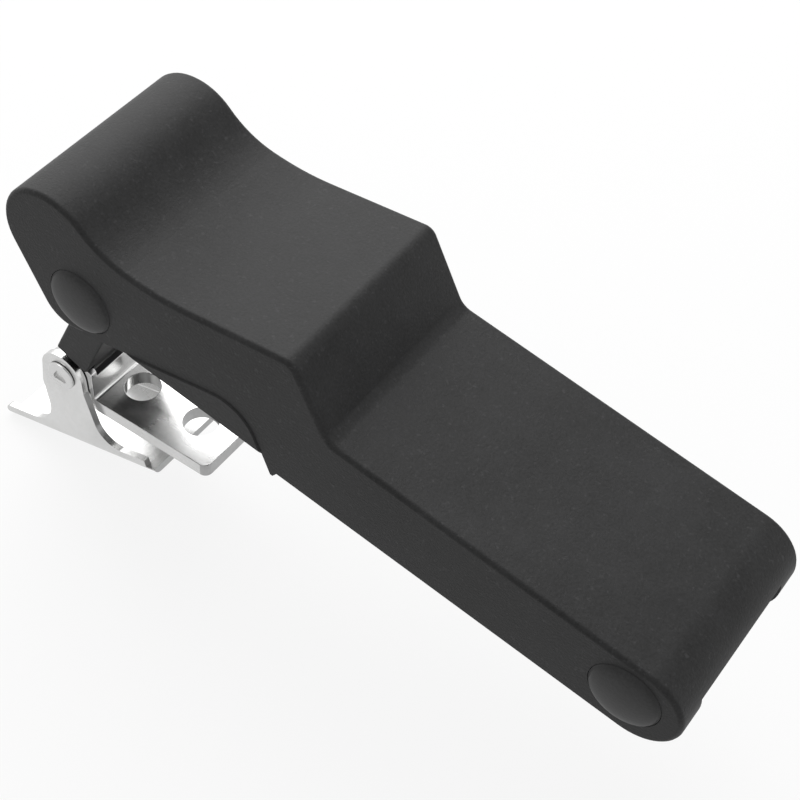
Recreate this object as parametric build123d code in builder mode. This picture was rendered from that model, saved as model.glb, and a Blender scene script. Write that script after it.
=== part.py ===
from build123d import *
from math import acos, asin, atan2, cos, degrees, hypot, radians, sin, sqrt, tan
import os

# Over-centre rubber draw latch, in millimetres.
# X runs from the pivot end to the tail, Y across the width, Z away from the mounting panel.
# The origin lies on the bracket's mounting face, midway between its two screw holes.

# ---------------------------------------------------------------- stored pose
link_angle = 65.0            # link above the mounting face, resting on the bracket's flange
handle_droop = 9.7           # handle's tail below level
saddle_angle = 15.0          # saddle's floor above level, hanging free on its pin

# ---------------------------------------------------------------- base bracket, pressed and folded
plate_thickness = 3.0
plate_width = 16.2
plate_end_margin = 8.0       # hole centre to the plate's free end
plate_corner = 1.6
screw_hole = 7.0
screw_spacing = 14.4
flange_margin = 5.0          # hole centre to the flange's inside face
flange_thickness = 1.5
flange_bend_inside = 0.6
flange_bend_outside = 2.1
bracket_ear_thickness = 1.5
bracket_ear = 4.6            # radius of the bracket's ears about the pivot pin
bracket_ear_corner = 1.2
bracket_ear_rise = 1.5       # ears' top above the flange's
pivot_height = 7.3           # pivot pin above the mounting face
pivot_offset = 6.3           # pivot pin from the flange's inside face

# ---------------------------------------------------------------- pivot pin, staked at both ends
pivot_pin = 4.8
staked_head = 6.2
staked_head_height = 0.7
staked_head_bevel = 0.3
lobe_offset = 0.9            # the staking punch leaves a rounded three-cornered mark
lobe_size = 1.4
lobe_depth = 0.5

# ---------------------------------------------------------------- clearances
running_gap = 0.05           # radial, about each pin
side_gap = 0.2               # between neighbouring ears and hubs
stop_gap = 0.1               # link to its stops
shoulder_gap = 1.4           # link's shoulder to the saddle's ear

# ---------------------------------------------------------------- saddle, folded sheet
saddle_sheet = 1.3
saddle_ear = 5.0             # radius of the saddle's ears about the pivot pin
saddle_depth = 19.0          # pivot pin to the underside of the floor
saddle_rim = 2.8             # height of the rim along the floor
saddle_bend = 1.5            # outside bend radius along the floor
saddle_reach_tail = 17.8     # pivot pin to the floor's end on the tail side
saddle_reach_free = 21.8     # pivot pin to the floor's free end
saddle_tip = 1.5             # rims' tips beyond the floor's free end
saddle_tip_round = 1.2
saddle_relief = 2.2          # rims stop short of the floor's end on the tail side
saddle_neck_tail = 4.3       # ear's straight edge on the tail side
saddle_neck_free = 8.4       # ear's edge on the free side, at the foot
saddle_waist_free = 6.8      # the same edge below the pin
saddle_waist_depth = 3.6     # how far below the pin that is
saddle_sweep_tail = 5.0      # rounding from the ear into the rim
saddle_sweep_free = 7.6

# ---------------------------------------------------------------- link, moulded
link_length = 43.2           # between the two pins
link_thickness = 7.4
link_edge = 0.5
link_eye = 5.5               # radius about the grip pin

# ---------------------------------------------------------------- handle, rubber over a stiff insert
handle_length = 135.8
handle_width = 38.0
arm_height = 17.2
nose_radius = 10.2
nose_height = 27.2
scoop_place = 25.6           # lowest point of the finger scoop, from the nose
scoop_height = 22.3
scoop_radius = 45.0          # scoop's rise towards the crest
crest_place = 58.0
crest_height = 29.6
crest_round = 2.6
fold_place = 67.3            # foot of the slope that falls to the arm
fold_round = 3.0
boss_place = 11.9            # corner under the grip pin, before rounding
boss_drop = 2.5
boss_round = 6.0
skirt_peak_place = 51.0      # top of the peaked cut in the rubber's lower edge
skirt_peak_height = 11.4
skirt_peak_round = 8.0
skirt_foot_place = 58.0
bead_width = 1.3             # small shut-off bead at the foot of the cut
bead_drop = 0.5
arm_belly = 0.4              # arm's lower edge sinks by this much towards the cut
edge_round = 1.1             # edges' rounding, made in three flats

grip_pin_place = 17.0
grip_pin_height = 7.6
grip_pin = 6.0
tail_pin_place = 125.6
tail_pin_height = 9.0
tail_pin = 5.0

channel_roof = 13.6          # underside of the top wall, along the whole handle
arm_wall = 6.0               # side wall of the hollow arm
channel_step_place = 66.0    # where the grip's channel opens into the arm's pocket
pocket_corner = 2.0
end_lip_place = 131.4        # inside face of the lip over the open tail
end_lip_height = 11.5

# ---------------------------------------------------------------- stiff insert inside the grip
insert_cover = 3.5           # rubber over the insert's sides
insert_flank_proud = 0.3     # exposed flank stands proud of the rubber
insert_top = 17.0
insert_sole = 3.0            # flat lower edge of the insert
insert_boss = 7.6            # radius about the grip pin
insert_end_place = 57.2
insert_flank_bevel = 0.25

# ---------------------------------------------------------------- caps over the handle's pins
cap_diameter = 12.7
cap_gap = 0.1                # radial gap in its recess
cap_edge = 0.35              # cap's edge beyond the handle's side
cap_edge_bevel = 0.25
cap_crown = 1.1              # height of the dome
cap_thickness = 3.0
cap_rings = 3                # flat rings that the dome is turned in

# ---------------------------------------------------------------- places worked out from the above
hole_x = screw_spacing / 2
flange_face_x = -hole_x - flange_margin
plate_end_x = hole_x + plate_end_margin
pivot_x = flange_face_x - pivot_offset
plate_half = plate_width / 2
bracket_ear_inside = plate_half - bracket_ear_thickness
tongue_half = bracket_ear_inside - side_gap
saddle_inside = plate_half + side_gap
saddle_outside = saddle_inside + saddle_sheet
pin_head_inside = saddle_outside + side_gap / 2
channel_half = pin_head_inside + staked_head_height + side_gap
hub_half = channel_half - side_gap
handle_half = handle_width / 2
pocket_half = handle_half - arm_wall
link_shoulder = saddle_ear + shoulder_gap
link_half = saddle_outside - side_gap * 2
flange_back_x = flange_face_x - flange_thickness
tail_radius = arm_height / 2
recess_depth = cap_thickness - cap_edge
pin_end = handle_half - recess_depth
insert_half_width = handle_half - insert_cover


def turned(x, z, angle):
    """Coordinates (x, z) turned anticlockwise by an angle in degrees."""
    a = radians(angle)
    return x * cos(a) - z * sin(a), x * sin(a) + z * cos(a)


def side_plane(x, z, angle):
    """Upright plane seen from the front, its own X turned up by the angle."""
    dx, dz = turned(1, 0, angle)
    return Plane(origin=(x, 0, z), x_dir=(dx, 0, dz), z_dir=(0, -1, 0))


link_run, link_rise = turned(link_length, 0, link_angle)
grip_pin_x = pivot_x + link_run
grip_pin_z = pivot_height + link_rise
back_x, back_z = turned(grip_pin_place, grip_pin_height, -handle_droop)
stop_reach = flange_back_x - pivot_x - (link_thickness / 2 + stop_gap) * sin(radians(link_angle))
stop_fall = (link_thickness / 2 + stop_gap) * cos(radians(link_angle))
flange_height = pivot_height + stop_reach * tan(radians(link_angle)) - stop_fall
base_plane = side_plane(0, 0, 0)
pivot_plane = side_plane(pivot_x, pivot_height, 0)
saddle_plane = side_plane(pivot_x, pivot_height, saddle_angle)
link_plane = side_plane(pivot_x, pivot_height, link_angle)
handle_plane = side_plane(grip_pin_x - back_x, grip_pin_z - back_z, -handle_droop)


def corner(context, x, y):
    """The vertex of a sketch or part in the making that lies nearest to a point."""
    return context.vertices().sort_by_distance(Vector(x, y, 0))[0]


def tangent_touch(point, centre, radius, side):
    """Where a straight line from a point touches a circle; side is 1 or -1."""
    dx, dy = point[0] - centre[0], point[1] - centre[1]
    angle = atan2(dy, dx) + side * acos(radius / hypot(dx, dy))
    return centre[0] + radius * cos(angle), centre[1] + radius * sin(angle)


# ---------------------------------------------------------------- outline of the handle's side
nose_centre = (nose_radius, nose_height - nose_radius)
nose_run = scoop_place - nose_centre[0]
nose_fall = scoop_height - nose_centre[1]
nose_blend = (nose_run**2 + nose_fall**2 - nose_radius**2) / (2 * (nose_radius - nose_fall))
blend_centre = (scoop_place, scoop_height + nose_blend)
blend_angle = degrees(atan2(blend_centre[1] - nose_centre[1], nose_run))
scoop_centre = (scoop_place, scoop_height + scoop_radius)
crest_point = (crest_place, crest_height)
scoop_touch = tangent_touch(crest_point, scoop_centre, scoop_radius, -1)
scoop_turn = degrees(asin((scoop_touch[0] - scoop_place) / scoop_radius))
boss_point = (boss_place, -boss_drop)
nose_touch = tangent_touch(boss_point, nose_centre, nose_radius, -1)
nose_start = degrees(atan2(nose_touch[1] - nose_centre[1], nose_touch[0] - nose_centre[0]))
peak_point = (skirt_peak_place, skirt_peak_height)
foot_slope = skirt_peak_height / (skirt_foot_place - skirt_peak_place)
tail_x = handle_length - tail_radius


def handle_outline():
    """Closed outline of the rubber's side, from the nose round to the tail and back."""
    with BuildSketch() as outline:
        with BuildLine():
            CenterArc(nose_centre, nose_radius, nose_start % 360, blend_angle - nose_start % 360)
            CenterArc(blend_centre, nose_blend, 180 + blend_angle, 90 - blend_angle)
            CenterArc(scoop_centre, scoop_radius, 270, scoop_turn)
            Polyline(scoop_touch, crest_point, (fold_place, arm_height), (tail_x, arm_height))
            CenterArc((tail_x, tail_radius), tail_radius, 90, -180)
            Polyline(
                (tail_x, 0),
                (skirt_foot_place + bead_width, -arm_belly),
                (skirt_foot_place + bead_width - bead_drop / 2, -arm_belly - bead_drop),
                (skirt_foot_place + (arm_belly + bead_drop) / foot_slope, -arm_belly - bead_drop),
                peak_point,
                boss_point,
                nose_touch,
            )
        make_face()
        fillet(corner(outline, *crest_point), crest_round)
        fillet(corner(outline, fold_place, arm_height), fold_round)
        fillet(corner(outline, *boss_point), boss_round)
        fillet(corner(outline, *peak_point), skirt_peak_round)
    return outline.sketch


def channel_outline():
    """Space inside the grip that the link swings through, open below."""
    stop_angle = link_angle + 180 + handle_droop
    stop_offset = link_thickness / 2 + stop_gap
    left = turned(0, -stop_offset, stop_angle)
    down = turned(handle_length / 2, -stop_offset, stop_angle)
    with BuildSketch() as outline:
        with Locations((grip_pin_place, grip_pin_height)):
            Circle(channel_roof - grip_pin_height)
            Polygon(
                left,
                down,
                (channel_step_place - grip_pin_place, down[1]),
                (channel_step_place - grip_pin_place, channel_roof - grip_pin_height),
                (0, channel_roof - grip_pin_height),
                align=None,
            )
    return outline.sketch


def pocket_outline():
    """Space under the hollow arm, open below and at the tail."""
    below = -handle_length / 2
    beyond = handle_length + tail_radius
    with BuildSketch() as outline:
        Polygon(
            (channel_step_place, below),
            (beyond, below),
            (beyond, end_lip_height),
            (end_lip_place, end_lip_height),
            (end_lip_place, channel_roof),
            (channel_step_place, channel_roof),
            align=None,
        )
    return outline.sketch


with BuildPart() as hollow:
    with BuildSketch(handle_plane):
        add(channel_outline())
    extrude(amount=channel_half, both=True)
    with BuildSketch(handle_plane):
        add(pocket_outline())
    extrude(amount=pocket_half, both=True)

# ---------------------------------------------------------------- stiff insert
with BuildPart() as grip_insert:
    with BuildSketch(handle_plane):
        with BuildLine():
            CenterArc((grip_pin_place, grip_pin_height), insert_boss, 0, 360)
            Polyline(
                (insert_end_place, insert_sole),
                (insert_end_place, insert_top),
                (grip_pin_place + insert_boss, insert_top),
            )
        make_hull()
    extrude(amount=insert_half_width, both=True)
    with BuildSketch(handle_plane) as flank:
        skirt_slope = (skirt_peak_height + boss_drop) / (skirt_peak_place - boss_place)
        Polygon(
            (boss_place + (insert_sole + boss_drop) / skirt_slope, insert_sole),
            (skirt_foot_place - insert_sole / foot_slope, insert_sole),
            peak_point,
            align=None,
        )
        fillet(corner(flank, *peak_point), skirt_peak_round)
    extrude(amount=handle_half + insert_flank_proud, both=True)
    flanks = grip_insert.faces().sort_by(Axis.Y)
    chamfer(flanks[0].edges() + flanks[-1].edges(), insert_flank_bevel)
    add(hollow.part, mode=Mode.SUBTRACT)
    with BuildSketch(handle_plane):
        with Locations((grip_pin_place, grip_pin_height)):
            Circle(grip_pin / 2)
    extrude(amount=handle_width, both=True, mode=Mode.SUBTRACT)
grip_insert.part.label = "grip_insert"

# ---------------------------------------------------------------- rubber handle
def along_side(edge, inset):
    """Whether an edge runs along a side of the handle, or inside it by an inset."""
    return all(abs(abs(place.Y) - handle_half + inset) < 0.001 for place in (edge @ 0, edge @ 0.5, edge @ 1))


def above_skirt(edge):
    """Whether an edge is one that the rubber rounds off, and not on its lower rim."""
    place = handle_plane.to_local_coords(edge @ 0.5)
    in_cut = boss_place < place.X < skirt_foot_place + 3 and place.Y < skirt_peak_height
    return place.Y > 1.0 and not in_cut


with BuildPart() as handle_cover:
    with BuildSketch(handle_plane):
        add(handle_outline())
    extrude(amount=handle_half, both=True)
    first_flat = edge_round * (2 - sqrt(2))
    next_flats = edge_round * (tan(radians(22.5)) - tan(radians(11.25)))
    for inset, flat in ((0, first_flat), (0, next_flats), (first_flat, next_flats)):
        sides = handle_cover.edges().filter_by(lambda e: along_side(e, inset))
        chamfer(sides.filter_by(above_skirt), flat)
    with BuildSketch(handle_plane):
        add(handle_outline())
        Polygon(
            (boss_place + boss_round, -handle_width),
            (skirt_foot_place + bead_width, -handle_width),
            (skirt_foot_place + bead_width, skirt_peak_height + edge_round),
            (skirt_peak_place, skirt_peak_height + edge_round),
            (boss_place + boss_round, edge_round),
            align=None,
            mode=Mode.INTERSECT,
        )
    extrude(amount=handle_half, both=True)
    add(hollow.part, mode=Mode.SUBTRACT)
    add(grip_insert.part, mode=Mode.SUBTRACT)
    for place, level, size in (
        (grip_pin_place, grip_pin_height, grip_pin),
        (tail_pin_place, tail_pin_height, tail_pin),
    ):
        with BuildSketch(handle_plane):
            with Locations((place, level)):
                Circle(size / 2)
        extrude(amount=handle_width, both=True, mode=Mode.SUBTRACT)
        for side in (1, -1):
            with BuildSketch(handle_plane.offset(side * (handle_half - recess_depth))):
                with Locations((place, level)):
                    Circle(cap_diameter / 2 + cap_gap)
            extrude(amount=side * handle_width, mode=Mode.SUBTRACT)
handle_cover.part.label = "handle_cover"

# ---------------------------------------------------------------- pins through the handle
with BuildPart() as grip_pin_rod:
    with BuildSketch(handle_plane):
        with Locations((grip_pin_place, grip_pin_height)):
            Circle(grip_pin / 2)
    extrude(amount=pin_end, both=True)
grip_pin_rod.part.label = "grip_pin"

with BuildPart() as tail_pin_rod:
    with BuildSketch(handle_plane):
        with Locations((tail_pin_place, tail_pin_height)):
            Circle(tail_pin / 2)
    extrude(amount=pin_end, both=True)
tail_pin_rod.part.label = "tail_pin"


def cap_plane(place, level, side):
    """Plane through a cap's middle, its own Y pointing out of the handle."""
    seat = handle_plane.from_local_coords(Vector(place, level, 0))
    across = Vector(0, side, 0)
    origin = seat + across * (handle_half - recess_depth)
    return Plane(origin=origin, x_dir=handle_plane.x_dir, z_dir=handle_plane.x_dir.cross(across))


def cap_section():
    """Half-section of a cap, its dome turned in flat rings about its axis."""
    rim = cap_diameter / 2
    dome = (rim**2 + cap_crown**2) / (2 * cap_crown)
    centre = cap_thickness + cap_crown - dome
    spread = asin(rim / dome)
    steps = [spread * (1 - ring / cap_rings) for ring in range(cap_rings)]
    rings = [(dome * sin(step), centre + dome * cos(step)) for step in steps]
    with BuildSketch() as section:
        Polygon((0, 0), (rim, 0), *rings, (0, rings[-1][1]), align=None)
        chamfer(corner(section, rim, cap_thickness), cap_edge_bevel)
    return section.sketch


with BuildPart() as grip_cap_front:
    with BuildSketch(cap_plane(grip_pin_place, grip_pin_height, -1)):
        add(cap_section())
    revolve(axis=Axis(cap_plane(grip_pin_place, grip_pin_height, -1).origin, (0, -1, 0)))
grip_cap_front.part.label = "grip_pin_cap_front"

with BuildPart() as grip_cap_rear:
    with BuildSketch(cap_plane(grip_pin_place, grip_pin_height, 1)):
        add(cap_section())
    revolve(axis=Axis(cap_plane(grip_pin_place, grip_pin_height, 1).origin, (0, 1, 0)))
grip_cap_rear.part.label = "grip_pin_cap_rear"

with BuildPart() as tail_cap_front:
    with BuildSketch(cap_plane(tail_pin_place, tail_pin_height, -1)):
        add(cap_section())
    revolve(axis=Axis(cap_plane(tail_pin_place, tail_pin_height, -1).origin, (0, -1, 0)))
tail_cap_front.part.label = "tail_pin_cap_front"

with BuildPart() as tail_cap_rear:
    with BuildSketch(cap_plane(tail_pin_place, tail_pin_height, 1)):
        add(cap_section())
    revolve(axis=Axis(cap_plane(tail_pin_place, tail_pin_height, 1).origin, (0, 1, 0)))
tail_cap_rear.part.label = "tail_pin_cap_rear"

# ---------------------------------------------------------------- link
with BuildPart() as link:
    with BuildSketch(link_plane):
        with Locations(((link_shoulder + link_length) / 2, 0)):
            Rectangle(link_length - link_shoulder, link_thickness)
    extrude(amount=link_half, both=True)
    fillet(link.edges().filter_by(Axis((0, 0, 0), link_plane.x_dir)), link_edge)
    with BuildSketch(link_plane):
        with Locations((link_shoulder / 2 + link_thickness / 4, 0)):
            Rectangle(link_shoulder + link_thickness / 2, link_thickness)
        Circle(link_thickness / 2)
    extrude(amount=tongue_half, both=True)
    with BuildSketch(link_plane):
        with Locations((link_length, 0)):
            Circle(link_eye)
    extrude(amount=hub_half, both=True)
    with BuildSketch(link_plane):
        Circle(pivot_pin / 2 + running_gap)
        with Locations((link_length, 0)):
            Circle(grip_pin / 2 + running_gap)
    extrude(amount=handle_width, both=True, mode=Mode.SUBTRACT)
link.part.label = "link"

# ---------------------------------------------------------------- base bracket
with BuildPart() as base_bracket:
    with BuildSketch(base_plane) as fold:
        Polygon(
            (plate_end_x, 0),
            (plate_end_x, plate_thickness),
            (flange_face_x, plate_thickness),
            (flange_face_x, flange_height),
            (flange_back_x, flange_height),
            (flange_back_x, 0),
            align=None,
        )
        fillet(corner(fold, flange_face_x, plate_thickness), flange_bend_inside)
        fillet(corner(fold, flange_back_x, 0), flange_bend_outside)
    extrude(amount=plate_half, both=True)
    fillet(base_bracket.edges().filter_by(Axis.Z).sort_by(Axis.X)[-2:], plate_corner)
    for side in (1, -1):
        with BuildSketch(base_plane.offset(side * bracket_ear_inside)) as ear:
            with BuildLine():
                CenterArc((pivot_x, pivot_height), bracket_ear, 0, 360)
                Polyline(
                    (flange_face_x, plate_thickness),
                    (flange_face_x, flange_height + bracket_ear_rise),
                    (flange_back_x, flange_height + bracket_ear_rise),
                )
            make_hull()
            fillet(corner(ear, flange_face_x, flange_height + bracket_ear_rise), bracket_ear_corner)
        extrude(amount=side * bracket_ear_thickness)
    with BuildSketch(base_plane):
        with Locations((pivot_x, pivot_height)):
            Circle(pivot_pin / 2)
    extrude(amount=handle_width, both=True, mode=Mode.SUBTRACT)
    with BuildSketch():
        with Locations((-hole_x, 0), (hole_x, 0)):
            Circle(screw_hole / 2)
    extrude(amount=plate_thickness, mode=Mode.SUBTRACT)
base_bracket.part.label = "base_bracket"

# ---------------------------------------------------------------- pivot pin
with BuildPart() as pivot_pin_rod:
    with BuildSketch(pivot_plane):
        Circle(pivot_pin / 2)
    extrude(amount=pin_head_inside, both=True)
    for side in (1, -1):
        head_plane = pivot_plane.offset(side * pin_head_inside)
        with BuildSketch(head_plane):
            Circle(staked_head / 2)
        extrude(amount=side * staked_head_height)
    ends = pivot_pin_rod.faces().sort_by(Axis.Y)
    chamfer(ends[0].edges() + ends[-1].edges(), staked_head_bevel)
    for side in (1, -1):
        lobe_plane = pivot_plane.offset(side * (pin_head_inside + staked_head_height - lobe_depth))
        with BuildSketch(lobe_plane):
            with PolarLocations(lobe_offset, 3, start_angle=90):
                Circle(lobe_size / 2)
            make_hull()
        extrude(amount=side * handle_width, mode=Mode.SUBTRACT)
pivot_pin_rod.part.label = "pivot_pin"

# ---------------------------------------------------------------- saddle
floor_low = -saddle_depth
floor_top = floor_low + saddle_sheet
rim_top = floor_low + saddle_rim
tip_x = -saddle_reach_free - saddle_tip

with BuildPart() as saddle:
    across = Plane(origin=saddle_plane.origin, x_dir=(0, 1, 0), z_dir=saddle_plane.x_dir)
    with BuildSketch(across) as fold:
        with Locations((0, 0)):
            Rectangle(2 * saddle_outside, 2 * saddle_depth)
        fillet(fold.vertices(), saddle_bend)
        with Locations((0, saddle_depth)):
            RectangleRounded(
                2 * saddle_inside,
                4 * saddle_depth - 2 * saddle_sheet,
                saddle_bend - saddle_sheet,
                mode=Mode.SUBTRACT,
            )
    extrude(amount=2 * saddle_depth, both=True)
    with BuildSketch(saddle_plane) as cheek:
        with BuildLine():
            CenterArc((0, 0), saddle_ear, 0, 360)
            Polyline((-saddle_waist_free, -saddle_waist_depth), (saddle_neck_tail, -saddle_waist_depth))
        make_hull()
        Polygon(
            (-saddle_waist_free, -saddle_waist_depth),
            (-saddle_neck_free, rim_top),
            (tip_x, rim_top),
            (tip_x, floor_low),
            (saddle_reach_tail, floor_low),
            (saddle_reach_tail, floor_top),
            (saddle_reach_tail - saddle_relief, floor_top),
            (saddle_reach_tail - saddle_relief, rim_top),
            (saddle_neck_tail, rim_top),
            (saddle_neck_tail, -saddle_waist_depth),
            align=None,
        )
        fillet(corner(cheek, -saddle_neck_free, rim_top), saddle_sweep_free)
        fillet(corner(cheek, saddle_neck_tail, rim_top), saddle_sweep_tail)
        fillet([corner(cheek, tip_x, rim_top), corner(cheek, tip_x, floor_low)], saddle_tip_round)
    extrude(amount=saddle_outside, both=True, mode=Mode.INTERSECT)
    with BuildSketch(saddle_plane):
        with Locations((tip_x, floor_low)):
            Rectangle(2 * saddle_tip, 4 * saddle_sheet)
    extrude(amount=saddle_outside - saddle_bend, both=True, mode=Mode.SUBTRACT)
    with BuildSketch(saddle_plane):
        Circle(pivot_pin / 2 + running_gap)
    extrude(amount=handle_width, both=True, mode=Mode.SUBTRACT)
saddle.part.label = "saddle"

os.makedirs("parts", exist_ok=True)
export_step(handle_cover.part, "parts/handle_cover.step")
export_step(grip_insert.part, "parts/grip_insert.step")
export_step(grip_pin_rod.part, "parts/grip_pin.step")
export_step(grip_cap_front.part, "parts/grip_pin_cap_front.step")
export_step(grip_cap_rear.part, "parts/grip_pin_cap_rear.step")
export_step(tail_pin_rod.part, "parts/tail_pin.step")
export_step(tail_cap_front.part, "parts/tail_pin_cap_front.step")
export_step(tail_cap_rear.part, "parts/tail_pin_cap_rear.step")
export_step(link.part, "parts/link.step")
export_step(base_bracket.part, "parts/base_bracket.step")
export_step(pivot_pin_rod.part, "parts/pivot_pin.step")
export_step(saddle.part, "parts/saddle.step")
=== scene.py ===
"""Dresses the over-centre draw latch: its rubber handle and caps, its link, bracket, saddle and pivot pin."""

import logging
import math
from dataclasses import dataclass
from enum import Enum
from typing import Sequence

import bpy
from mathutils import Matrix, Vector
from mathutils.bvhtree import BVHTree

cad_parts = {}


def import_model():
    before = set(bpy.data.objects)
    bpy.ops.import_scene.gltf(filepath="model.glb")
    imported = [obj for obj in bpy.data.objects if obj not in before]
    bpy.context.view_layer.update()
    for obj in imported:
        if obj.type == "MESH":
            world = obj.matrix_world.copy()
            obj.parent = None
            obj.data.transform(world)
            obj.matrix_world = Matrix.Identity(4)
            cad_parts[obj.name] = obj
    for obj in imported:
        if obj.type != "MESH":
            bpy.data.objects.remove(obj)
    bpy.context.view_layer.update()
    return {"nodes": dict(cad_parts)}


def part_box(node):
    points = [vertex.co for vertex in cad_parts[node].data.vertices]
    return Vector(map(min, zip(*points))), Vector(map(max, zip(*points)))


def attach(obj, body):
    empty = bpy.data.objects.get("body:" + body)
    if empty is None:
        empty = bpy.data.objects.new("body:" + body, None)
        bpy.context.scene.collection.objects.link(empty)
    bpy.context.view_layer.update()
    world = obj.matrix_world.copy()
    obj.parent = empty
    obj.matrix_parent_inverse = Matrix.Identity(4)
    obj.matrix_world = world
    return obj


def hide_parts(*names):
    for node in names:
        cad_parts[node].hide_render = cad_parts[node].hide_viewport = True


LOG = logging.getLogger("draw_latch")

MM = 0.001  # every length is in metres
MERGE = 1e-6  # points closer than this are one
FLAT = math.radians(0.4)  # faces turned less than this are one
CUT_DEPTH = 4.4 * MM  # a face with more steel than this behind it is a cut edge
SKIN = 0.02 * MM  # how far inside a face the steel behind it is measured from


class Socket:
    """A shader socket or a number that Python's operators turn into Math nodes."""

    def __init__(self, shader: "Shader", link: object) -> None:
        """Keeps the shader that new nodes go to.

        Args:
            shader: The material being written.
            link: An output socket.
        """
        self.shader = shader
        self.link = link

    def _math(self, operation: str, *values: object) -> "Socket":
        """Adds one Math node.

        Args:
            operation: The Math node's operation.
            values: Its inputs, sockets or numbers.

        Returns:
            The node's output.
        """
        return self.shader.node("ShaderNodeMath", {"operation": operation}, dict(enumerate(values)))

    def __add__(self, other: object) -> "Socket":
        """The sum."""
        return self._math("ADD", self, other)

    def __radd__(self, other: object) -> "Socket":
        """The sum, number first."""
        return self._math("ADD", other, self)

    def __sub__(self, other: object) -> "Socket":
        """The difference."""
        return self._math("SUBTRACT", self, other)

    def __rsub__(self, other: object) -> "Socket":
        """The difference, number first."""
        return self._math("SUBTRACT", other, self)

    def __mul__(self, other: object) -> "Socket":
        """The product."""
        return self._math("MULTIPLY", self, other)

    def __rmul__(self, other: object) -> "Socket":
        """The product, number first."""
        return self._math("MULTIPLY", other, self)

    def clamped(self) -> "Socket":
        """The value held between 0 and 1."""
        return self.shader.node("ShaderNodeClamp", {}, {0: self})


class Shader:
    """One material's node tree, written as expressions."""

    def __init__(self, name: str) -> None:
        """Starts an empty material with one Principled shader.

        Args:
            name: The material's name.
        """
        self.material = bpy.data.materials.new(name)
        self.material.use_nodes = True
        self.tree = self.material.node_tree
        self.tree.nodes.clear()
        self.output = self.tree.nodes.new("ShaderNodeOutputMaterial")
        self.surface = self.tree.nodes.new("ShaderNodeBsdfPrincipled")
        self.tree.links.new(self.surface.outputs[0], self.output.inputs[0])

    def node(self, kind: str, settings: dict, values: dict, out: object = 0) -> Socket:
        """Adds one node.

        Args:
            kind: The node's type.
            settings: Its own settings, set before its sockets. "ramp" holds a ramp's stops.
            values: Its inputs by name or number: links or plain values.
            out: The output wanted, by name or number.

        Returns:
            That output, wrapped.
        """
        made = self.tree.nodes.new(kind)
        for key, value in settings.items():
            if key == "ramp":
                self._stops(made.color_ramp, value)
            else:
                setattr(made, key, value)
        for key, value in values.items():
            if isinstance(value, Socket):
                self.tree.links.new(value.link, made.inputs[key])
            else:
                made.inputs[key].default_value = value
        return Socket(self, made.outputs[out])

    @staticmethod
    def _stops(ramp: object, stops: Sequence) -> None:
        """Sets a colour ramp's stops.

        Args:
            ramp: The ramp.
            stops: Pairs of place and grey level.
        """
        while len(ramp.elements) < len(stops):
            ramp.elements.new(0.5)
        for element, (place, level) in zip(ramp.elements, stops):
            element.position = place
            element.color = (level, level, level, 1.0)

    def place(
        self, scale: Sequence[float] = (1.0, 1.0, 1.0), turn: Sequence[float] = (0.0, 0.0, 0.0)
    ) -> Socket:
        """Object coordinates, in metres, scaled and turned.

        Args:
            scale: Scale along each axis.
            turn: Turn about each axis, in radians.

        Returns:
            The mapped coordinates.
        """
        coordinates = self.node("ShaderNodeTexCoord", {}, {}, "Object")
        return self.node("ShaderNodeMapping", {}, {"Vector": coordinates, "Scale": scale, "Rotation": turn})

    def noise(self, vector: Socket, scale: float, detail: float = 2.0, rough: float = 0.5) -> Socket:
        """Fractal noise from 0 to 1.

        Args:
            vector: Where it is read.
            scale: Its scale.
            detail: Its octaves.
            rough: How strong the finer octaves are.

        Returns:
            The noise value.
        """
        return self.node(
            "ShaderNodeTexNoise",
            {},
            {"Vector": vector, "Scale": scale, "Detail": detail, "Roughness": rough},
            "Fac",
        )

    def ramp(self, value: Socket, stops: Sequence) -> Socket:
        """A value through a ramp of grey stops."""
        return self.node("ShaderNodeValToRGB", {"ramp": stops}, {0: value})

    def blend(self, factor: Socket, low: Sequence[float], high: Sequence[float]) -> Socket:
        """A colour between two by a factor."""
        return self.node(
            "ShaderNodeMix",
            {"data_type": "RGBA"},
            {0: factor, 6: (*low, 1.0), 7: (*high, 1.0)},
            2,
        )

    def bump(
        self, height: Socket, depth: float, strength: float = 1.0, normal: Socket | None = None
    ) -> Socket:
        """A bumped normal.

        Args:
            height: Height from 0 to 1.
            depth: What 1 stands for, in metres.
            strength: How much of it shows.
            normal: An earlier bump that this one adds to.

        Returns:
            The normal.
        """
        values = {"Height": height, "Distance": depth, "Strength": strength}
        if normal is not None:
            values["Normal"] = normal
        return self.node("ShaderNodeBump", {}, values)

    def set(self, **values: object) -> None:
        """Sets or links the Principled shader's sockets.

        Args:
            values: Each socket's value or link, by its name with spaces written as underscores.
        """
        for key, value in values.items():
            target = self.surface.inputs[key.replace("_", " ")]
            if isinstance(value, Socket):
                self.tree.links.new(value.link, target)
            else:
                target.default_value = value


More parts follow.
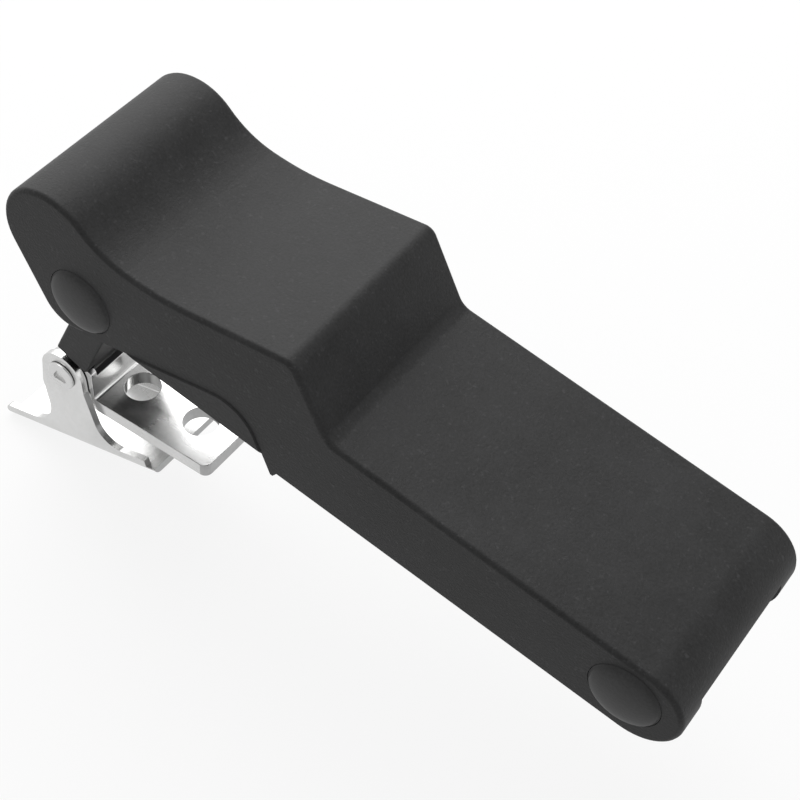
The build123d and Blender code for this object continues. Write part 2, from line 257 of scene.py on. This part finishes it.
@dataclass(frozen=True)
class MouldedFinish:
    """Black moulded rubber or plastic with a spark-eroded grain and a faint bloom."""

    name: str
    dark: float = 0.008
    pale: float = 0.032
    rough: float = 0.52
    rough_swing: float = 0.16
    grain_size: float = 0.0005
    grain_depth: float = 0.00006
    specular: float = 0.2
    fleck: float = 0.8

    def material(self) -> bpy.types.Material:
        """Builds the material.

        Returns:
            The material.
        """
        shader = Shader(self.name)
        here = shader.place()
        grain = shader.noise(here, 1.0 / self.grain_size, 2.0, 0.55)
        fine = shader.noise(here, 3.1 / self.grain_size, 1.0)
        cloud = shader.noise(here, 70.0, 5.0, 0.62)
        flow = shader.noise(shader.place((420.0, 420.0, 1500.0), (0.2, 0.5, 0.1)), 1.0, 3.0, 0.6)
        fleck = shader.ramp(shader.noise(here, 0.62 / self.grain_size, 2.0), [(0.62, 0.0), (0.78, 1.0)])
        bloom = shader.ramp(cloud, [(0.34, 0.0), (0.68, 1.0)])
        tone = (bloom * 0.45 + (grain - 0.5) * 0.9 + flow * 0.25 + fleck * self.fleck).clamped()
        shader.set(
            Base_Color=shader.blend(tone, (self.dark,) * 3, (self.pale, self.pale, self.pale * 1.02)),
            Roughness=self.rough + (cloud - 0.5) * self.rough_swing + (grain - 0.5) * 0.12,
            Specular_IOR_Level=self.specular,
            Normal=shader.bump(fine, self.grain_depth * 0.35, 1.0, shader.bump(grain, self.grain_depth)),
        )
        return shader.material


@dataclass(frozen=True)
class PlatedFinish:
    """Bright plated sheet steel, slightly wavy, with a rolling grain and patches of bloom."""

    name: str
    dark: float = 0.52
    pale: float = 0.74
    rough: float = 0.16
    wave_depth: float = 0.000014
    streak: tuple[float, float, float] = (70.0, 1500.0, 1500.0)

    def material(self) -> bpy.types.Material:
        """Builds the material.

        Returns:
            The material.
        """
        shader = Shader(self.name)
        here = shader.place()
        roll = shader.noise(shader.place(self.streak), 1.0, 2.0, 0.6)
        cloud = shader.noise(here, 150.0, 3.0, 0.55)
        wave = shader.noise(here, 240.0, 2.0, 0.5)
        mottle = shader.noise(here, 900.0, 3.0, 0.65)
        patch = shader.ramp(shader.noise(here, 55.0, 2.0, 0.5), [(0.50, 0.0), (0.72, 1.0)])
        tone = (cloud * 0.7 + roll * 0.3 - patch * (mottle - 0.35) * 0.9).clamped()
        shader.set(
            Base_Color=shader.blend(tone, (self.dark, self.dark, self.dark * 0.985), (self.pale,) * 3),
            Metallic=1.0,
            Roughness=self.rough + cloud * 0.10 + (roll - 0.5) * 0.06 + patch * 0.12,
            Normal=shader.bump(
                mottle, 0.00001, 0.7, shader.bump(wave, self.wave_depth, 0.7, shader.bump(roll, 0.000004))
            ),
        )
        return shader.material


@dataclass(frozen=True)
class ShearedFinish:
    """The cut edge of a steel sheet: duller, with the fine marks of the punch across it."""

    name: str
    dark: float = 0.26
    pale: float = 0.50
    rough: float = 0.34

    def material(self) -> bpy.types.Material:
        """Builds the material.

        Returns:
            The material.
        """
        shader = Shader(self.name)
        here = shader.place()
        marks = shader.noise(shader.place((2600.0, 2600.0, 300.0)), 1.0, 2.0, 0.6)
        cloud = shader.noise(here, 420.0, 3.0, 0.6)
        tone = (cloud * 0.6 + marks * 0.4).clamped()
        shader.set(
            Base_Color=shader.blend(tone, (self.dark,) * 3, (self.pale,) * 3),
            Metallic=1.0,
            Roughness=self.rough + (cloud - 0.5) * 0.16 + (marks - 0.5) * 0.10,
            Normal=shader.bump(marks, 0.000012, 0.8, shader.bump(cloud, 0.00003, 0.6)),
        )
        return shader.material


class Node(Enum):
    """The solids that come with the frame."""

    COVER = "handle_cover"
    INSERT = "grip_insert"
    GRIP_PIN = "grip_pin"
    GRIP_CAP_FRONT = "grip_pin_cap_front"
    GRIP_CAP_REAR = "grip_pin_cap_rear"
    TAIL_PIN = "tail_pin"
    TAIL_CAP_FRONT = "tail_pin_cap_front"
    TAIL_CAP_REAR = "tail_pin_cap_rear"
    LINK = "link"
    BRACKET = "base_bracket"
    PIVOT_PIN = "pivot_pin"
    SADDLE = "saddle"


def dress(solid: bpy.types.Object, material: bpy.types.Material) -> None:
    """Gives an object one material.

    Args:
        solid: The object.
        material: Its material.
    """
    if not solid.material_slots:
        solid.data.materials.append(material)
    for slot in solid.material_slots:
        slot.material = material


def alone(piece: bpy.types.Object) -> None:
    """Deselects everything else and makes one object active.

    Args:
        piece: The object.
    """
    bpy.ops.object.select_all(action="DESELECT")
    piece.select_set(True)
    bpy.context.view_layer.objects.active = piece


@dataclass(frozen=True)
class Softening:
    """How a piece's sharp edges are broken."""

    width: float = 0.18 * MM
    corner: float = math.radians(38.0)
    smooth: float = math.radians(34.0)
    segments: int = 2


@dataclass
class SoftenedPiece:
    """A solid's surface with its doubles merged and its sharp edges broken, on the solid's own body."""

    node: Node
    body: str
    slot: str
    softening: Softening = Softening()

    def build(
        self, nodes: dict[str, bpy.types.Object], materials: Sequence[bpy.types.Material]
    ) -> bpy.types.Object:
        """Makes the piece.

        Args:
            nodes: The frame's solids by name.
            materials: The face's finish, and the cut edge's finish where there is one.

        Returns:
            The piece.
        """
        solid = nodes[self.node.value]
        mesh = solid.data.copy()
        mesh.name = self.node.value + "_surface"
        piece = bpy.data.objects.new(mesh.name, mesh)
        bpy.context.scene.collection.objects.link(piece)
        alone(piece)
        bpy.ops.object.mode_set(mode="EDIT")
        bpy.ops.mesh.select_all(action="SELECT")
        bpy.ops.mesh.customdata_custom_splitnormals_clear()
        bpy.ops.mesh.remove_doubles(threshold=MERGE)
        bpy.ops.mesh.dissolve_limited(angle_limit=FLAT)
        bpy.ops.object.mode_set(mode="OBJECT")
        walls = BVHTree.FromPolygons([v.co for v in mesh.vertices], [p.vertices for p in mesh.polygons])
        if self.softening.segments:
            bevel = piece.modifiers.new("broken_edges", "BEVEL")
            bevel.width = self.softening.width
            bevel.segments = self.softening.segments
            bevel.limit_method = "ANGLE"
            bevel.angle_limit = self.softening.corner
            bevel.use_clamp_overlap = True
            bpy.ops.object.modifier_apply(modifier=bevel.name)
        bpy.ops.object.shade_smooth_by_angle(angle=self.softening.smooth)
        even = piece.modifiers.new("even_flats", "WEIGHTED_NORMAL")
        even.mode = "FACE_AREA"
        even.weight = 100
        even.keep_sharp = True
        bpy.ops.object.modifier_apply(modifier=even.name)
        mesh = piece.data
        mesh.materials.clear()
        for material in materials:
            mesh.materials.append(material)
        for face in mesh.polygons:
            face.material_index = 0
        if len(materials) > 1:
            self.mark_cut_edges(mesh, walls)
        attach(piece, self.body)
        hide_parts(self.node.value)
        return piece

    @staticmethod
    def mark_cut_edges(mesh: bpy.types.Mesh, walls: BVHTree) -> None:
        """Gives the cut edge's finish to each face that has more than a sheet of metal behind it.

        Args:
            mesh: The piece's mesh.
            walls: The piece's surface before its edges were broken.
        """
        for face in mesh.polygons:
            start = face.center - face.normal * SKIN
            hit = walls.ray_cast(start, -face.normal)
            if hit[0] is not None and hit[3] > CUT_DEPTH:
                face.material_index = 1


@dataclass(frozen=True)
class PinCap:
    """A press-on cap with a low dome, turned smooth."""

    rings: int = 9
    sides: int = 72
    crown: float = 1.1 * MM
    bevel: float = 0.25 * MM
    tip: float = 0.02
    smooth: float = math.radians(30.0)

    def build(self, node: Node, material: bpy.types.Material) -> bpy.types.Object:
        """Makes one cap in its solid's place.

        Args:
            node: The solid that it stands for.
            material: Its finish.

        Returns:
            The cap.
        """
        low, high = (Vector(corner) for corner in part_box(node.value))
        centre = (low + high) / 2.0
        radius = (high.x - low.x) / 2.0
        thick = high.y - low.y
        outward = 1.0 if centre.y > 0.0 else -1.0
        bpy.ops.object.select_all(action="DESELECT")
        bpy.ops.mesh.primitive_circle_add(
            vertices=self.sides,
            radius=radius,
            fill_type="NGON",
            location=(centre.x, low.y if outward > 0.0 else high.y, centre.z),
            rotation=(-outward * math.pi / 2.0, 0.0, 0.0),
        )
        cap = bpy.context.object
        cap.name = node.value + "_domed"
        bpy.ops.object.transform_apply(location=True, rotation=True, scale=True)
        bpy.ops.object.mode_set(mode="EDIT")
        bpy.ops.mesh.select_mode(type="FACE")
        bpy.ops.mesh.select_all(action="SELECT")
        self.rise(centre, outward, thick - self.crown - self.bevel, 1.0)
        self.rise(centre, outward, self.bevel, (radius - self.bevel) / radius)
        height = 0.0
        reach = 1.0
        for ring in range(1, self.rings + 1):
            turn = math.pi / 2.0 * ring / (self.rings + 1)
            next_reach = math.cos(turn)
            next_height = self.crown * math.sin(turn)
            self.rise(centre, outward, next_height - height, next_reach / reach)
            height, reach = next_height, next_reach
        self.rise(centre, outward, self.crown - height, self.tip / reach)
        bpy.ops.mesh.select_all(action="SELECT")
        bpy.ops.mesh.normals_make_consistent(inside=False)
        bpy.ops.object.mode_set(mode="OBJECT")
        bpy.ops.object.shade_smooth_by_angle(angle=self.smooth)
        dress(cap, material)
        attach(cap, "handle")
        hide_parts(node.value)
        return cap

    @staticmethod
    def rise(centre: Vector, outward: float, height: float, taper: float) -> None:
        """Extrudes the selected face along the pin and draws it in.

        Args:
            centre: The cap's middle.
            outward: The side that the cap faces, 1 or -1.
            height: How far it goes.
            taper: How much of its width is left.
        """
        bpy.ops.mesh.extrude_region_move(TRANSFORM_OT_translate={"value": (0.0, outward * height, 0.0)})
        bpy.ops.transform.resize(value=(taper, 1.0, taper), center_override=centre)


@dataclass
class Handle:
    """The rubber-covered handle with its insert, pins and caps."""

    rubber: MouldedFinish = MouldedFinish("moulded_rubber")
    insert: MouldedFinish = MouldedFinish("insert_plastic", rough=0.5, fleck=0.2)
    cap: MouldedFinish = MouldedFinish(
        "cap_plastic", rough=0.45, grain_depth=0.00002, fleck=0.15, specular=0.28
    )
    pin: PlatedFinish = PlatedFinish("pin_steel")
    dome: PinCap = PinCap()

    def build(self, nodes: dict[str, bpy.types.Object]) -> list[str]:
        """Makes and dresses the handle's pieces.

        Args:
            nodes: The frame's solids by name.

        Returns:
            The names of the pieces.
        """
        cap = self.cap.material()
        pin = self.pin.material()
        soft = Softening(width=0.0, segments=0, smooth=math.radians(30.0))
        cover = SoftenedPiece(Node.COVER, "handle", "cover_rubber", soft)
        made = [cover.build(nodes, [self.rubber.material()])]
        dress(nodes[Node.INSERT.value], self.insert.material())
        for node in (Node.GRIP_CAP_FRONT, Node.GRIP_CAP_REAR, Node.TAIL_CAP_FRONT, Node.TAIL_CAP_REAR):
            made.append(self.dome.build(node, cap))
        for node in (Node.GRIP_PIN, Node.TAIL_PIN):
            dress(nodes[node.value], pin)
        return [piece.name for piece in made]


@dataclass
class Mechanism:
    """The link, the bracket, the pivot pin and the saddle."""

    link: MouldedFinish = MouldedFinish("link_plastic", rough=0.5, fleck=0.2)
    plate: PlatedFinish = PlatedFinish("plated_steel")
    pin: PlatedFinish = PlatedFinish("staked_steel", rough=0.24, wave_depth=0.00001)
    saddle: PlatedFinish = PlatedFinish("saddle_steel", streak=(1500.0, 70.0, 1500.0))
    sheared: ShearedFinish = ShearedFinish("sheared_steel")

    def build(self, nodes: dict[str, bpy.types.Object]) -> list[str]:
        """Makes and dresses the mechanism's pieces.

        Args:
            nodes: The frame's solids by name.

        Returns:
            The names of the pieces.
        """
        cut = self.sheared.material()
        dress(nodes[Node.LINK.value], self.link.material())
        bracket = SoftenedPiece(Node.BRACKET, "base", "plated_steel")
        saddle = SoftenedPiece(Node.SADDLE, "saddle", "saddle_steel")
        pin = SoftenedPiece(Node.PIVOT_PIN, "base", "staked_steel", Softening(width=0.1 * MM))
        made = [
            bracket.build(nodes, [self.plate.material(), cut]),
            saddle.build(nodes, [self.saddle.material(), cut]),
            pin.build(nodes, [self.pin.material()]),
        ]
        return [piece.name for piece in made]


@dataclass(frozen=True)
class Softbox:
    """A square soft lamp that faces the latch."""

    name: str
    azimuth: float
    elevation: float
    power: float
    size: float = 1.0
    distance: float = 0.9


@dataclass
class Studio:
    """Floor, world, lamps and camera."""

    floor_level: float = -0.0170
    floor_white: float = 0.85
    sky: float = 0.45
    aim: tuple[float, float, float] = (0.045, 0.0, 0.02)
    lamps: tuple[Softbox, ...] = (
        Softbox("key_low", 135.0, 15.0, 1.1),
        Softbox("key", 135.0, 40.0, 4.8),
        Softbox("high", 135.0, 65.0, 4.6),
        Softbox("back", 45.0, 15.0, 1.2),
    )
    camera_place: tuple[float, float, float] = (0.15058, -0.15452, 0.25484)
    right: tuple[float, float, float] = (0.81358, 0.57995, 0.04180)
    up: tuple[float, float, float] = (-0.46309, 0.60281, 0.64974)
    forward: tuple[float, float, float] = (-0.35163, 0.54797, -0.75900)
    lens: float = 77.8
    sensor: float = 36.0
    clip: tuple[float, float] = (0.01, 20.0)
    floor_size: float = 6.0
    floor_grey: float = 0.8

    def camera(self) -> None:
        """Places the camera."""
        data = bpy.data.cameras.new("camera")
        data.lens = self.lens
        data.sensor_width = self.sensor
        data.clip_start, data.clip_end = self.clip
        body = bpy.data.objects.new("camera", data)
        bpy.context.scene.collection.objects.link(body)
        columns = (Vector(self.right), Vector(self.up), -Vector(self.forward))
        turn = Matrix(columns).transposed()
        body.matrix_world = Matrix.Translation(self.camera_place) @ turn.to_4x4()
        bpy.context.scene.camera = body

    def lamp(self, softbox: Softbox) -> None:
        """Adds a softbox that faces the latch.

        Args:
            softbox: The softbox.
        """
        data = bpy.data.lights.new(softbox.name, "AREA")
        data.shape = "SQUARE"
        data.size = softbox.size
        data.energy = softbox.power
        body = bpy.data.objects.new(softbox.name, data)
        bpy.context.scene.collection.objects.link(body)
        turn, lift = math.radians(softbox.azimuth), math.radians(softbox.elevation)
        away = Vector((math.cos(turn) * math.cos(lift), math.sin(turn) * math.cos(lift), math.sin(lift)))
        body.location = Vector(self.aim) + away * softbox.distance
        body.rotation_euler = (-away).to_track_quat("-Z", "Y").to_euler()

    def seen(self, tree: bpy.types.NodeTree, level: float) -> bpy.types.NodeSocket:
        """A level for camera, glossy and transmission rays, and nothing for the others.

        Args:
            tree: The node tree it goes to.
            level: Its level.

        Returns:
            The level.
        """
        path = tree.nodes.new("ShaderNodeLightPath")
        link = path.outputs["Is Camera Ray"]
        for ray in ("Is Glossy Ray", "Is Transmission Ray"):
            most = tree.nodes.new("ShaderNodeMath")
            most.operation = "MAXIMUM"
            tree.links.new(link, most.inputs[0])
            tree.links.new(path.outputs[ray], most.inputs[1])
            link = most.outputs[0]
        scaled = tree.nodes.new("ShaderNodeMath")
        scaled.operation = "MULTIPLY"
        tree.links.new(link, scaled.inputs[0])
        scaled.inputs[1].default_value = level
        return scaled.outputs[0]

    def world(self) -> None:
        """Makes a white background that lights softly."""
        world = bpy.data.worlds.new("studio")
        bpy.context.scene.world = world
        world.use_nodes = True
        tree = world.node_tree
        tree.nodes.clear()
        level = tree.nodes.new("ShaderNodeMath")
        level.operation = "ADD"
        tree.links.new(self.seen(tree, 1.0 - self.sky), level.inputs[0])
        level.inputs[1].default_value = self.sky
        background = tree.nodes.new("ShaderNodeBackground")
        background.inputs["Color"].default_value = (1.0, 1.0, 1.0, 1.0)
        tree.links.new(level.outputs[0], background.inputs["Strength"])
        output = tree.nodes.new("ShaderNodeOutputWorld")
        tree.links.new(background.outputs[0], output.inputs[0])

    def floor(self) -> None:
        """Lays a pale floor that camera, glossy and transmission rays see as mostly white emission, close to
        the white background, and that keeps the shadow.
        """
        bpy.ops.object.select_all(action="DESELECT")
        bpy.ops.mesh.primitive_plane_add(size=self.floor_size, location=(0.0, 0.0, self.floor_level))
        plane = bpy.context.object
        plane.name = "floor"
        material = bpy.data.materials.new("floor")
        material.use_nodes = True
        tree = material.node_tree
        tree.nodes.clear()
        pale = tree.nodes.new("ShaderNodeBsdfDiffuse")
        pale.inputs[0].default_value = (self.floor_grey,) * 3 + (1.0,)
        white = tree.nodes.new("ShaderNodeEmission")
        white.inputs[0].default_value = (1.0, 1.0, 1.0, 1.0)
        mix = tree.nodes.new("ShaderNodeMixShader")
        tree.links.new(self.seen(tree, self.floor_white), mix.inputs[0])
        tree.links.new(pale.outputs[0], mix.inputs[1])
        tree.links.new(white.outputs[0], mix.inputs[2])
        output = tree.nodes.new("ShaderNodeOutputMaterial")
        tree.links.new(mix.outputs[0], output.inputs[0])
        dress(plane, material)

    def build(self) -> None:
        """Sets up the studio."""
        self.world()
        self.floor()
        self.camera()
        for lamp in self.lamps:
            self.lamp(lamp)
        bpy.context.scene.view_settings.view_transform = "Standard"


def main() -> None:
    """Builds the studio and dresses the latch."""
    logging.basicConfig(level=logging.INFO, format="%(name)s: %(message)s")
    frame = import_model()
    Studio().build()
    for assembly in (Handle(), Mechanism()):
        for piece in assembly.build(frame["nodes"]):
            LOG.info("made %s", piece)


if __name__ == "__main__":
    main()
